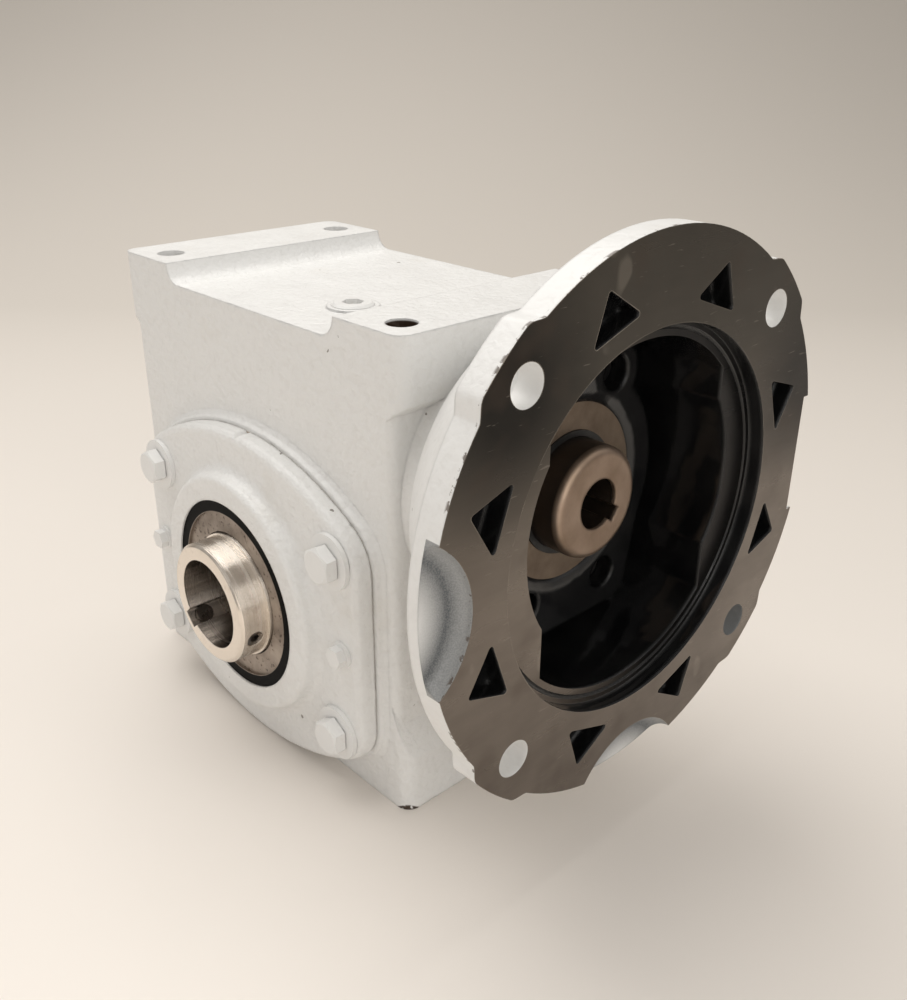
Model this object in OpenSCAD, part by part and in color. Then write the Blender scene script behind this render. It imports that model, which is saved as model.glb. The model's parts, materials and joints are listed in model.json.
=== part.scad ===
// Right-angle worm gear reducer with a hollow output shaft and a C-face motor flange.
// The origin is the middle of the hollow output bore. X runs to the motor, Z is up.

/* [Gearing] */
// Distance between the worm axis and the output axis
centre_distance = 52.4; // [51.4:0.1:53.4]
// Module of the worm and wheel
tooth_module = 2.1; // [2:0.05:2.15]
// Number of teeth on the wheel
wheel_teeth = 40; // [40:1:40]
// Number of threads on the worm
worm_starts = 2; // [2:1:2]
// Face width of the wheel
wheel_w = 22; // [18:1:24]
// Play between worm thread and wheel tooth, measured along the worm
tooth_play = 0.6; // [0.5:0.05:0.8]

/* [Housing] */
// Width across the two machined sides
body_w = 94.4; // [92:0.1:100]
// Output axis to the front of the corner lugs
body_front = 75; // [74:0.5:80]
// Output axis to the back of the corner lugs
body_rear = 81; // [80:0.5:88]
// Height of the output axis above the base
axis_h = 57; // [56:0.5:62]
// Height of the housing
body_h = 161.5; // [160:0.5:166]
// How far the end walls stand back from the corner lugs
end_recess = 4.5; // [3:0.5:5]
// Height of the corner lugs
lug_h = 20.5; // [18:0.5:24]
// Height of the slope under a top lug
top_slope_h = 3.5; // [2:0.5:6]
// Height of the slope over a base lug
base_slope_h = 12; // [6:0.5:16]
// Radius of the upright edges of the corner lugs
corner_r = 5; // [3:0.5:8]
// Thickness of the cast walls
wall = 8; // [7:0.5:9]
// Output axis to the inner edge of the front pads
front_pad_x = 45.5; // [44:0.5:47]
// Output axis to the inner edge of the rear pads
rear_pad_x = 49.5; // [48:0.5:51]
// Output axis to the inner edges of the base pads
base_pad_x = 34; // [32:0.5:40]
// Depth of the channel between the top pads
channel_d = 6.5; // [5:0.5:7]
// Depth of the channel between the base pads
base_channel_d = 4.5; // [4.2:0.1:4.8]
// Distance of the holes in the top pads from the output axis, along the housing
pad_hole_x = 64; // [63:0.5:65]
// Distance of the holes in the base pads from the output axis, along the housing
base_hole_x = 61; // [59:0.5:62]
// Distance of the tapped holes from the middle, across the housing
pad_hole_y = 37; // [35:0.5:38]
// Diameter of the tapped holes
pad_hole_d = 9.5; // [8:0.1:9.8]
// Depth of the tapped holes in the top pads
top_hole_depth = 14; // [10:0.5:14.5]
// Depth of the tapped holes in the base pads
base_hole_depth = 8.5; // [7:0.5:9]

/* [Output side] */
// Height of the raised seat that carries an output cover
seat_h = 2.4; // [2:0.1:3]
// Thickness of a cover gasket
gasket_t = 0.4; // [0.3:0.1:0.6]
// Thickness of the plate of an output cover
cover_t = 6.2; // [5.5:0.1:8]
// Half of the width of an output cover
cover_half_w = 63.5; // [63:0.5:65]
// Half of the height of an output cover
cover_half_h = 57.5; // [56:0.5:58.5]
// Radius of the long arcs at the top and bottom of a cover
cover_arc_r = 108; // [105:1:125]
// Radius of the corners of a cover
cover_corner_r = 17; // [15:0.5:18]
// Radius of the bore in the housing that takes the cover
cover_bore_r = 46.5; // [46:0.1:47]
// Height of the hub on a cover
hub_h = 5.5; // [4:0.1:7]
// Radius of the face of the hub
hub_r = 43; // [42:0.5:45]
// Distance of the cover bolts from the output axis, along the housing
bolt_x = 51.7; // [50:0.1:53]
// Distance of the cover bolts from the output axis, up and down
bolt_z = 31.7; // [31:0.1:33]
// Diameter of the cover bolts
bolt_d = 6.35; // [6:0.05:7]
// Width across the flats of the cover bolts
bolt_af = 11.1; // [10.5:0.1:12]
// Height of a cover bolt's head
bolt_head_h = 4.6; // [4:0.1:6]
// Radius of a cover bolt's washer
washer_r = 9.3; // [8.5:0.1:9.8]
// Thickness of a cover bolt's washer
washer_t = 1.6; // [1:0.1:2]
// Distance of the small cover screws from the output axis
jack_x = 55.4; // [54:0.1:56]

/* [Output shaft] */
// Diameter of the output shaft inside the case
shaft_d = 44.4; // [44:0.1:45]
// Diameter of the ends of the output shaft that stand out of the covers
nose_d = 42.86; // [42:0.01:43.5]
// Diameter of the output bore
bore_d = 31.75; // [30:0.01:32]
// Width of the keyway in the output bore
key_w = 6.35; // [6:0.01:6.5]
// Depth of the keyway below the bore
key_depth = 2.8; // [2:0.1:3]
// Direction of the keyway, turned from the motor side towards the top
key_angle = 221; // [200:1:240]
// How far the output shaft stands out of the hub of a cover
shaft_out = 9.7; // [8.5:0.1:13]
// Distance of the set screws from the end of the output shaft
set_screw_in = 5.2; // [4.5:0.1:6]
// Outer diameter of an output bearing
out_bearing_d = 73; // [72:0.1:74]
// Width of an output bearing
out_bearing_w = 15; // [13:0.5:16]
// Outer diameter of an output seal
out_seal_d = 68.4; // [66:0.1:70]

/* [Input side] */
// Output axis to the front face of the motor flange
flange_x = 126.5; // [126:0.5:130]
// Diameter of the motor flange
flange_d = 165.1; // [163:0.1:168]
// Diameter of the pilot recess
pilot_d = 114.3; // [114.2:0.05:114.4]
// Depth of the pilot recess
pilot_depth = 5.5; // [4.5:0.1:6.5]
// Diameter of the motor bolt circle
bolt_circle_d = 149.225; // [149:0.025:149.5]
// Diameter of the motor bolt holes
motor_hole_d = 11.2; // [10:0.1:11.5]
// Thickness of the rim of the flange
rim_t = 8.5; // [8:0.1:10]
// Output axis to the open end of the quill
quill_x = 108; // [106:0.5:110]
// Outer diameter of the quill
quill_d = 35; // [34.5:0.1:35.5]
// Diameter of the motor shaft bore
quill_bore_d = 15.875; // [15.8:0.005:16.05]
// Depth of the motor shaft bore
quill_depth = 52; // [50:0.5:53]
// Width of the keyway in the motor shaft bore
quill_key_w = 4.76; // [4.5:0.01:5]
// Direction of that keyway, turned from the far side towards the top
quill_key_angle = -35; // [-60:1:0]
// Outer diameter of the input seal
input_seal_d = 56; // [54:0.1:57]
// Output axis to the front of the inner boss of the flange
boss_x = 97; // [96:0.5:98]
// Distance of the flange screws from the worm axis, across
screw_y = 18; // [17:0.5:19]
// Distance of the flange screws from the worm axis, up and down
screw_z = 33.5; // [33:0.5:34.5]

/* [Fits] */
// Radial clearance of pieces that are pushed together and stay still
fit_gap = 0.04; // [0.02:0.01:0.06]
// Radial clearance of pieces that turn in one another
run_gap = 0.08; // [0.05:0.01:0.1]

/* [Hidden] */

$fn = 96;
eps = 0.01;

worm_z = centre_distance;
worm_pitch_r = centre_distance - wheel_teeth * tooth_module / 2;
wheel_pitch_r = wheel_teeth * tooth_module / 2;
addendum = 0.95 * tooth_module;
dedendum = 1.25 * tooth_module;
axial_pitch = PI * tooth_module;
worm_lead = axial_pitch * worm_starts;
lead_angle = atan(worm_lead / (2 * PI * worm_pitch_r));
pressure_angle = 20;
thread_half = (axial_pitch / 2 - tooth_play / 2) / 2;
thread_len = 48;
neck_r = worm_pitch_r + 0.6;

base_z = -axis_h;
top_z = body_h - axis_h;
channel_z = top_z - channel_d;
base_channel_z = base_z + base_channel_d;
side_y = body_w / 2;
front_wall_x = body_front - end_recess;
rear_wall_x = body_rear - end_recess;
wall_corner_r = 3;
cavity_top = channel_z - 10;
cavity_bottom = -cover_bore_r;
cavity_y = side_y - wall;
bolt_boss_r = 8.5;
bolt_boss_len = 8;
drain_boss_r = 11;
drain_boss_h = 8;

seat_y = side_y + seat_h;
cover_back = seat_y + gasket_t;
cover_front = cover_back + cover_t;
hub_y = cover_front + hub_h;
shaft_r = shaft_d / 2;
nose_r = nose_d / 2;
shaft_half = hub_y + shaft_out;
set_screw_y = shaft_half - set_screw_in;
set_screw_r = 3;
foot_gap = 0.4;
jack_r = 2.5;
bearing_y1 = cover_back + 1;
bearing_y0 = bearing_y1 - out_bearing_w;
hub_half_w = 15;
hub_outer_r = 33;
seal_y0 = bearing_y1 + 1.5;
seal_y1 = hub_y - 0.5;
seal_bore_r = out_seal_d / 2;
seal_lip_r = 30;
seal_plate_y0 = seal_y1 - 3;
seal_plate_y1 = seal_y1 - 1;
seal_wall = 2.5;
spacer_r = 26;
hub_neck_r = 28.5;
wheel_key_w = 6;
wheel_key_in = 2.2;
wheel_key_h = 4.6;

mount_x = 76;
gasket_x = mount_x + 0.5;
rim_x = flange_x - rim_t;
pilot_x = flange_x - pilot_depth;
quill_r = quill_d / 2;
quill_edge_r = 2.8;
quill_key_in = 2.4;
front_collar_r = 21;
rear_collar_r = 13;
front_bearing_r = 31;
front_bearing_w = 14;
front_bearing_x1 = mount_x - 2;
front_bearing_x0 = front_bearing_x1 - front_bearing_w;
rear_bearing_r = 23.5;
rear_bearing_w = 14;
rear_journal_r = 10;
rear_bearing_x0 = 60;
rear_bearing_x1 = rear_bearing_x0 + rear_bearing_w;
rear_boss_x = body_rear - 0.5;
rear_boss_r = 33;
front_boss_in = 8;
front_land_r = 26;
rear_pocket_r = 31;
rear_pocket_in = 3;
rear_land_r = 19;
rear_land_in = 6;
flange_seat_r = 44;
screw_r = 3;
screw_head_r = 5;
counterbore_r = 5.5;
counterbore_d = 12;
pocket_depth = 6.5;
pocket_foot_r = 64;
pocket_tip_r = 73.4;
lug_rise = 2.9;
bell_foot_r = 52;
bell_neck_r = 74;
bell_lip_r = 80;
bell_r = 52.5;
bell_flat_w = 75;
belly_r = 44.5;
belly_up = 3;
inner_boss_r = 38.5;
screw_pad_r = 10.5;
nut_room_r = 12;
seal_land_r = 24;
seal_mouth_r = 31.2;
lip_len = 5;
bite_r = 25.8;
bite_at = 94.8;
bite_depth = 4.5;
bite_edge_r = 4.4;
rim_flat_at = 77.7;
shoulder_groove = 1.4;
rim_flat_w = 39.6;
seal_x1 = boss_x - 1;
seal_x0 = seal_x1 - 10;
moat_x = 87;
fill_x = 20.4;
fill_y = -20.3;
drain_x = -38;
plug_r = 6.9;
plug_len = 10;
plug_hex = 6.35;
plug_rim = 1.7;
plug_chamfer = 0.8;
fill_pad_h = 1.7;

// Places what follows with its Z along the worm axis, its X across and its Y up.
module worm_frame() {
    translate([0, 0, worm_z]) rotate([90, 0, 90]) children();
}

// Places what follows on one side, with its Z outwards along the output axis and its Y up.
module output_frame(far = false) {
    mirror([0, far ? 1 : 0, 0]) rotate([90, 0, 0]) children();
}

// A straight round piece between two heights.
module round_bar(r, z0, z1) {
    translate([0, 0, z0]) cylinder(r = r, h = z1 - z0);
}

// A tube between two heights.
module tube(r_out, r_in, z0, z1) {
    difference() {
        round_bar(r_out, z0, z1);
        round_bar(r_in, z0 - 1, z1 + 1);
    }
}

// A six-sided bar, measured across its flats.
module hex_bar(flats, z0, z1) {
    translate([0, 0, z0]) cylinder(d = flats / cos(30), h = z1 - z0, $fn = 6);
}

// A block with round upright edges.
module upright_block(x0, x1, half_y, z0, z1, r) {
    translate([x0 + r, -half_y, z0]) cube([x1 - x0 - 2 * r, 2 * half_y, z1 - z0]);
    translate([x0, -half_y + r, z0]) cube([x1 - x0, 2 * (half_y - r), z1 - z0]);
    for (x = [x0 + r, x1 - r], y = [-half_y + r, half_y - r])
        translate([x, y, z0]) cylinder(r = r, h = z1 - z0);
}

// The last stretch of a round bar up to z, with a rounded outer edge.
module rounded_end(r, z, edge) {
    rotate_extrude() {
        translate([0, z - edge]) square([r - edge, edge]);
        translate([r - edge, z - edge]) intersection() {
            circle(r = edge);
            square([edge, edge]);
        }
    }
}

// Takes away what would reach below the base, less a gap. Y is up here.
module above_base(gap) {
    difference() {
        children();
        translate([-cover_half_w, -2 * axis_h + gap, 0]) cube([2 * cover_half_w, axis_h, 2 * body_w]);
    }
}

// The four places of the cover bolts.
module at_cover_bolts() {
    for (x = [-bolt_x, bolt_x], y = [-bolt_z, bolt_z]) translate([x, y, 0]) children();
}

// The four places of the screws that hold the flange.
module at_flange_screws() {
    for (y = [-screw_y, screw_y], z = [-screw_z, screw_z]) translate([y, z, 0]) children();
}

// Outline of an output cover, grown outwards by grow: two long arcs, straight sides, round corners.
module cover_outline(grow = 0) {
    arc = cover_arc_r + grow;
    half_w = cover_half_w + grow;
    corner = cover_corner_r + grow;
    arc_y = cover_half_h - cover_arc_r;
    cx = half_w - corner;
    cy = arc_y + sqrt(pow(arc - corner, 2) - pow(cx, 2));
    lean = atan2(cy - arc_y, cx);
    difference() {
        intersection() {
            translate([0, arc_y]) circle(r = arc);
            translate([0, -arc_y]) circle(r = arc);
            square([2 * half_w, 4 * cover_half_h], center = true);
        }
        for (sx = [-1, 1], sy = [-1, 1]) scale([sx, sy])
            polygon([
                [cx, cy],
                [cx + 2 * corner, cy],
                [cx + 2 * corner, cy + 2 * corner],
                [cx + 2 * corner * cos(lean), cy + 2 * corner * sin(lean)],
            ]);
    }
    for (sx = [-1, 1], sy = [-1, 1]) translate([sx * cx, sy * cy]) circle(r = corner);
}

// Cut of the channel between two pads, open upwards, with its floor at 0 and round corners.
module channel_cut(depth, front_x, rear_x) {
    mid = (front_x - rear_x) / 2;
    len = front_x + rear_x;
    rotate([90, 0, 0]) linear_extrude(2 * body_w, center = true) {
        translate([mid, depth]) square([len - 2 * depth, 2 * depth], center = true);
        for (x = [depth - rear_x, front_x - depth]) translate([x, depth]) circle(r = depth);
        translate([mid, 2 * depth]) square([len, 2 * depth], center = true);
    }
}

// Takes the room between the lugs off one end, with a slope at each lug.
module lug_gap(wall_x, end_x) {
    top_lug_z = top_z - lug_h;
    base_lug_z = base_z + lug_h;
    top_rise = top_slope_h / end_recess;
    base_rise = base_slope_h / end_recess;
    rotate([90, 0, 0]) linear_extrude(2 * body_w, center = true) polygon([
        [end_x + 1, base_lug_z - base_rise],
        [end_x + 1, top_lug_z + top_rise],
        [wall_x - corner_r, top_lug_z - top_slope_h - top_rise * corner_r],
        [wall_x - corner_r, base_lug_z + base_slope_h + base_rise * corner_r],
    ]);
}

// Outside of the casting: block, corner lugs, channels, cover seats and end bosses.
module housing_outside() {
    difference() {
        union() {
            upright_block(-rear_wall_x, front_wall_x, side_y, base_z, top_z, wall_corner_r);
            difference() {
                upright_block(-body_rear, body_front, side_y, base_z, top_z, corner_r);
                lug_gap(front_wall_x, body_front);
                mirror([1, 0, 0]) lug_gap(rear_wall_x, body_rear);
            }
        }
        translate([0, 0, channel_z]) channel_cut(channel_d, front_pad_x, rear_pad_x);
        translate([0, 0, base_channel_z]) mirror([0, 0, 1])
            channel_cut(base_channel_d, base_pad_x, base_pad_x);
    }
    for (far = [false, true]) output_frame(far) cover_seat();
    worm_frame() round_bar(flange_seat_r, front_wall_x - 1, mount_x);
    worm_frame() round_bar(rear_boss_r, -rear_boss_x, -rear_wall_x + 1);
    translate([fill_x, fill_y, channel_z - 1]) cylinder(r = plug_r + plug_rim, h = fill_pad_h);
}

// Raised seat for a cover, with a sloping edge all round, cut off level with the base.
module cover_seat() {
    steps = [[side_y - 1, 3.6], [side_y + 0.1, 3.4], [side_y + 0.35 * seat_h, 1.9], [seat_y, 1]];
    above_base(0) for (i = [0:2]) hull() for (q = [steps[i], steps[i + 1]])
        translate([0, 0, q[0] - eps]) linear_extrude(eps) cover_outline(q[1]);
}

// Hollow inside of the casting, with the bosses that stand in it.
module housing_cavity() {
    difference() {
        translate([-rear_wall_x + wall, -cavity_y, cavity_bottom])
            cube([front_wall_x + rear_wall_x - 2 * wall, 2 * cavity_y, cavity_top - cavity_bottom]);
        worm_frame() round_bar(flange_seat_r, front_bearing_x0 - front_boss_in, front_wall_x);
        worm_frame() round_bar(rear_pocket_r, -rear_wall_x, rear_pocket_in - rear_bearing_x0);
        for (far = [false, true]) output_frame(far) at_cover_bolts()
            round_bar(bolt_boss_r, cavity_y - bolt_boss_len, cavity_y + 1);
        translate([drain_x, 0, cavity_bottom - 1]) cylinder(r = drain_boss_r, h = drain_boss_h + 1);
    }
}

module housing() {
    color("white") difference() {
        housing_outside();
        housing_cavity();
        output_frame() round_bar(cover_bore_r, -seat_y - 1, seat_y + 1);
        worm_frame() {
            round_bar(front_bearing_r, front_bearing_x0, mount_x + 1);
            round_bar(front_land_r, front_bearing_x0 - front_boss_in - 1, front_bearing_x0 + 1);
            round_bar(rear_bearing_r, -rear_boss_x - 1, -rear_bearing_x0);
            round_bar(rear_land_r, -rear_bearing_x0 - 1, rear_land_in - rear_bearing_x0);
            round_bar(rear_bearing_r + 1, -rear_boss_x + 0.7, -rear_boss_x + 2);
            at_flange_screws() round_bar(screw_r + fit_gap, front_bearing_x0 - 1, mount_x + 1);
        }
        for (far = [false, true]) output_frame(far) at_cover_bolts()
            round_bar(bolt_d / 2 + fit_gap, cavity_y - 5, seat_y + 1);
        for (sx = [-1, 1], y = [-pad_hole_y, pad_hole_y]) {
            translate([sx * pad_hole_x, y, top_z - top_hole_depth]) cylinder(d = pad_hole_d, h = 30);
            translate([sx * base_hole_x, y, base_z - 30]) cylinder(d = pad_hole_d, h = 30 + base_hole_depth);
        }
        translate([fill_x, fill_y, cavity_top - 1]) cylinder(r = plug_r + fit_gap, h = body_h);
        translate([drain_x, 0, base_z - 1]) cylinder(r = plug_r + fit_gap, h = axis_h - cover_bore_r + 10);
    }
}

// A pipe plug with a hexagon socket in its top face.
module pipe_plug() {
    difference() {
        union() {
            cylinder(r = plug_r, h = plug_len - plug_chamfer);
            translate([0, 0, plug_len - plug_chamfer])
                cylinder(r1 = plug_r, r2 = plug_r - plug_chamfer, h = plug_chamfer);
        }
        hex_bar(plug_hex, plug_len / 2, plug_len + 1);
    }
}

module fill_plug() {
    color("gainsboro") translate([fill_x, fill_y, channel_z + fill_pad_h - plug_len]) pipe_plug();
}

module drain_plug() {
    color("gainsboro") translate([drain_x, 0, base_channel_z + plug_len - 1]) rotate([180, 0, 0])
        pipe_plug();
}

// Outline of the flange rim: a circle with four raised lugs at the motor bolts, blended in.
module flange_outline() {
    r = flange_d / 2;
    rise = lug_rise;
    flat_turn = 6.2;
    end_turn = 11;
    steps = 10;
    flank = [for (i = [0:steps]) let (q = i / steps)
        [flat_turn + (end_turn - flat_turn) * q, r - 0.2 + (rise + 0.2) * (1 + cos(180 * q)) / 2]];
    circle(r = r);
    for (a = [45:90:315]) rotate(a) intersection() {
        circle(r = r + rise);
        polygon(concat(
            [for (i = [steps:-1:0]) flank[i][1] * [cos(flank[i][0]), -sin(flank[i][0])]],
            [(r + rise + 1) * [cos(flat_turn), -sin(flat_turn)], (r + rise + 1) * [cos(flat_turn), sin(flat_turn)]],
            [for (i = [0:steps]) flank[i][1] * [cos(flank[i][0]), sin(flank[i][0])]]
        ));
    }
}

// Cutter for a dished bite in the rim, with a round lower edge.
module bite_cutter() {
    translate([0, 0, flange_x - bite_depth]) rotate_extrude() {
        square([bite_r - bite_edge_r, bite_depth + 1]);
        translate([0, bite_edge_r]) square([bite_r, bite_depth + 1 - bite_edge_r]);
        translate([bite_r - bite_edge_r, bite_edge_r]) circle(r = bite_edge_r);
    }
}

// Outline of one of the eight three-sided pockets in the flange face, with round corners.
module pocket_outline() {
    round_r = 0.9;
    polar = [[pocket_foot_r, 26.6], [pocket_foot_r, 12.4], [pocket_tip_r, 19.7]];
    corners = [for (q = polar) q[0] * [cos(q[1]), sin(q[1])]];
    polygon([for (i = [0:2]) for (k = [0:4])
        corners[i] + round_r * [cos(q_turn(corners, i, k)), sin(q_turn(corners, i, k))]]);
}

// Direction of point k of the round corner i, from one side's normal to the next one's.
function side_normal(c, i) = let (d = c[(i + 1) % 3] - c[i % 3]) atan2(-d[0], d[1]);
function q_turn(c, i, k) =
    let (a = side_normal(c, i + 2), b = side_normal(c, i), turn = ((b - a) % 360 + 540) % 360 - 180)
    a + turn * k / 4;

// Outside of the bell, turned about the worm axis.
module bell_profile() {
    rotate_extrude() polygon([
        [0, gasket_x],
        [flange_seat_r, gasket_x],
        [flange_seat_r + 4, gasket_x + 4],
        [bell_foot_r, gasket_x + 7],
        [bell_neck_r, rim_x - 6],
        [bell_lip_r, rim_x + 1],
        [0, rim_x + 1],
    ]);
}

// Outline of the hollow in the bell: a circle with flat sides, and a wider belly around the quill.
module bell_outline() {
    intersection() {
        circle(r = bell_r);
        square([bell_flat_w, 3 * bell_r], center = true);
    }
    translate([0, belly_up]) circle(r = belly_r);
}

// Outline of the inner boss around the quill: round, with a flat foot and a narrower head.
module boss_outline() {
    circle(r = inner_boss_r);
    polygon([[30, -42], [24, -46], [-24, -46], [-30, -42], [-35, -16], [-22, 44], [22, 44], [35, -16]]);
    at_flange_screws() circle(r = screw_pad_r);
}

// Hollow of the bell in front of the inner boss.
module bell_cavity() {
    difference() {
        translate([0, 0, moat_x]) linear_extrude(pilot_x - moat_x + 1) bell_outline();
        translate([0, 0, moat_x - 1]) linear_extrude(boss_x - moat_x + 1) boss_outline();
    }
}

module motor_flange() {
    color("white") worm_frame() difference() {
        union() {
            bell_profile();
            translate([0, 0, rim_x]) linear_extrude(rim_t) flange_outline();
            round_bar(front_bearing_r - fit_gap, front_bearing_x1 + 0.1, gasket_x + 1);
        }
        bell_cavity();
        round_bar(pilot_d / 2, pilot_x, flange_x + 1);
        tube(pilot_d / 2 - shoulder_groove, pilot_d / 2 - 2 * shoulder_groove, pilot_x - 0.8, pilot_x + 1);
        round_bar(seal_land_r, front_bearing_x1 - 1, seal_x0);
        round_bar(input_seal_d / 2 + fit_gap, seal_x0, boss_x + 1);
        translate([0, 0, seal_x1]) cylinder(r1 = input_seal_d / 2, r2 = seal_mouth_r, h = 1 + eps);
        at_flange_screws() {
            round_bar(screw_r + 0.3, front_bearing_x1, boss_x);
            round_bar(counterbore_r, boss_x - counterbore_d, boss_x + 1);
        }
        for (a = [45:90:315]) rotate(a) translate([bolt_circle_d / 2, 0, 0]) {
            round_bar(motor_hole_d / 2, rim_x - 1, flange_x + 1);
            round_bar(nut_room_r, rim_x - 30, rim_x);
        }
        for (a = [0:90:270], m = [0, 1]) rotate(a) mirror([0, m]) translate([0, 0, flange_x - pocket_depth])
            linear_extrude(pocket_depth + 1) pocket_outline();
        for (a = [180, 270]) rotate(a) translate([bite_at, 0, 0]) bite_cutter();
        translate([rim_flat_at, -rim_flat_w / 2, rim_x - 20]) cube([20, rim_flat_w, rim_t + 30]);
    }
}

module flange_gasket() {
    color("dimgray") worm_frame() difference() {
        tube(flange_seat_r - 0.5, front_bearing_r + 0.6, mount_x, gasket_x);
        at_flange_screws() round_bar(screw_r + 0.4, mount_x - 1, gasket_x + 1);
    }
}

module flange_screws() {
    head_x = boss_x - counterbore_d;
    color("dimgray") worm_frame() at_flange_screws() difference() {
        union() {
            round_bar(screw_r, front_bearing_x0 + 2, head_x + 1);
            round_bar(screw_head_r, head_x, head_x + 2 * screw_r);
        }
        hex_bar(screw_head_r, head_x + screw_r, head_x + 2 * screw_r + 1);
    }
}

module input_seal() {
    color("rosybrown") worm_frame() difference() {
        round_bar(input_seal_d / 2, seal_x0, seal_x1);
        round_bar(quill_r + 2, seal_x0 - 1, seal_x1 + 1);
        tube(input_seal_d / 2 - 2.2, quill_r + 1, seal_x0 - 1, seal_x1 - 3);
    }
}

module input_seal_lip() {
    color("black") worm_frame()
        tube(quill_r + 2 - fit_gap, quill_r + run_gap, seal_x1 - lip_len, seal_x1 + 0.6);
}

// One turn of the worm's cross-section: radius and angle of the crest, flanks and root.
function thread_half_at(r) = thread_half - (r - worm_pitch_r) * tan(pressure_angle);
function thread_turn(r) = 360 * thread_half_at(r) / worm_lead;

module worm_section() {
    crest = worm_pitch_r + addendum;
    root = worm_pitch_r - dedendum;
    step = 360 / worm_starts;
    side = [root, worm_pitch_r, crest];
    polygon([for (s = [0:worm_starts - 1]) each concat(
        [for (r = side) [r * cos(s * step - thread_turn(r)), r * sin(s * step - thread_turn(r))]],
        [[crest * cos(s * step), crest * sin(s * step)]],
        [for (i = [2:-1:0]) [side[i] * cos(s * step + thread_turn(side[i])),
            side[i] * sin(s * step + thread_turn(side[i]))]],
        [[root * cos((s + 0.5) * step), root * sin((s + 0.5) * step)]]
    )]);
}

module worm_shaft() {
    turn = 360 * thread_len / worm_lead;
    core_r = worm_pitch_r - dedendum + 0.35;
    color("slategray") worm_frame() difference() {
        union() {
            translate([0, 0, -thread_len / 2]) rotate(-turn / 2)
                linear_extrude(thread_len, twist = -turn, slices = ceil(turn / 12), $fn = 12) worm_section();
            round_bar(core_r, -thread_len / 2, thread_len / 2);
            round_bar(neck_r, thread_len / 2 - 1, front_bearing_x0 - 3);
            round_bar(front_collar_r, front_bearing_x0 - 4, front_bearing_x0);
            round_bar(quill_r, front_bearing_x0 - 1, quill_x - quill_edge_r);
            rounded_end(quill_r, quill_x, quill_edge_r);
            round_bar(neck_r, 2 - rear_bearing_x0, 1 - thread_len / 2);
            round_bar(rear_collar_r, -rear_bearing_x0, 4 - rear_bearing_x0);
            round_bar(rear_journal_r, -rear_bearing_x1 - 3, 1 - rear_bearing_x0);
        }
        round_bar(quill_bore_d / 2, quill_x - quill_depth, quill_x + 1);
        rotate(quill_key_angle) translate([0, -quill_key_w / 2, quill_x - quill_depth + 8])
            cube([quill_bore_d / 2 + quill_key_in, quill_key_w, quill_depth]);
        tube(rear_journal_r + 1, rear_journal_r - 0.7, -rear_bearing_x1 - 1.5, -rear_bearing_x1 - 0.2);
    }
}

module worm_snap_ring() {
    color("darkslategray") worm_frame() difference() {
        tube(rear_journal_r + 1.6, rear_journal_r - 0.6, -rear_bearing_x1 - 1.4, -rear_bearing_x1 - 0.3);
        translate([-2.5, 0, -rear_bearing_x1 - 2]) cube([5, 20, 3]);
    }
}

// Outer ring of a ball bearing, with its groove.
module outer_ring(r_out, r_in, ball_r, z0, w) {
    mid_r = (r_out + r_in) / 2;
    rotate_extrude() difference() {
        translate([mid_r + ball_r * 0.45, z0]) square([r_out - fit_gap - mid_r - ball_r * 0.45, w]);
        translate([mid_r, z0 + w / 2]) circle(r = ball_r + run_gap);
    }
}

// Inner ring of a ball bearing, with its groove.
module inner_ring(r_out, r_in, ball_r, z0, w) {
    mid_r = (r_out + r_in) / 2;
    rotate_extrude() difference() {
        translate([r_in + fit_gap, z0]) square([mid_r - ball_r * 0.45 - r_in - fit_gap, w]);
        translate([mid_r, z0 + w / 2]) circle(r = ball_r + run_gap);
    }
}

// Balls of a ball bearing.
module ball_row(r_out, r_in, ball_r, z0, w) {
    mid_r = (r_out + r_in) / 2;
    count = floor(2 * PI * mid_r / (ball_r * 2.35));
    for (i = [0:count - 1]) rotate(i * 360 / count) translate([mid_r, 0, z0 + w / 2]) sphere(r = ball_r);
}

front_ball_r = 4.2;
rear_ball_r = 4;
out_ball_r = 4.4;

module front_bearing_outer_ring() {
    color("silver") worm_frame()
        outer_ring(front_bearing_r, quill_r, front_ball_r, front_bearing_x0, front_bearing_w);
}

module front_bearing_inner_ring() {
    color("silver") worm_frame()
        inner_ring(front_bearing_r, quill_r, front_ball_r, front_bearing_x0, front_bearing_w);
}

module front_bearing_balls() {
    color("silver") worm_frame()
        ball_row(front_bearing_r, quill_r, front_ball_r, front_bearing_x0, front_bearing_w);
}

module rear_bearing_outer_ring() {
    color("silver") worm_frame()
        outer_ring(rear_bearing_r, rear_journal_r, rear_ball_r, -rear_bearing_x1, rear_bearing_w);
}

module rear_bearing_inner_ring() {
    color("silver") worm_frame()
        inner_ring(rear_bearing_r, rear_journal_r, rear_ball_r, -rear_bearing_x1, rear_bearing_w);
}

module rear_bearing_balls() {
    color("silver") worm_frame()
        ball_row(rear_bearing_r, rear_journal_r, rear_ball_r, -rear_bearing_x1, rear_bearing_w);
}

module rear_end_cap() {
    cap_x = rear_boss_x - 2.1;
    color("white") worm_frame() difference() {
        round_bar(rear_bearing_r - fit_gap, -cap_x, -rear_bearing_x1 - 0.05);
        round_bar(rear_bearing_r - 3, -cap_x + 1.2, -rear_bearing_x1 + 1);
    }
}

module rear_retaining_ring() {
    ring_x = rear_boss_x - 0.8;
    color("darkslategray") worm_frame() difference() {
        tube(rear_bearing_r + 0.9, rear_bearing_r - 2.6, -ring_x, -ring_x + 1.1);
        translate([-4, -40, -ring_x - 1]) cube([8, 40, 4]);
    }
}

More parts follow.
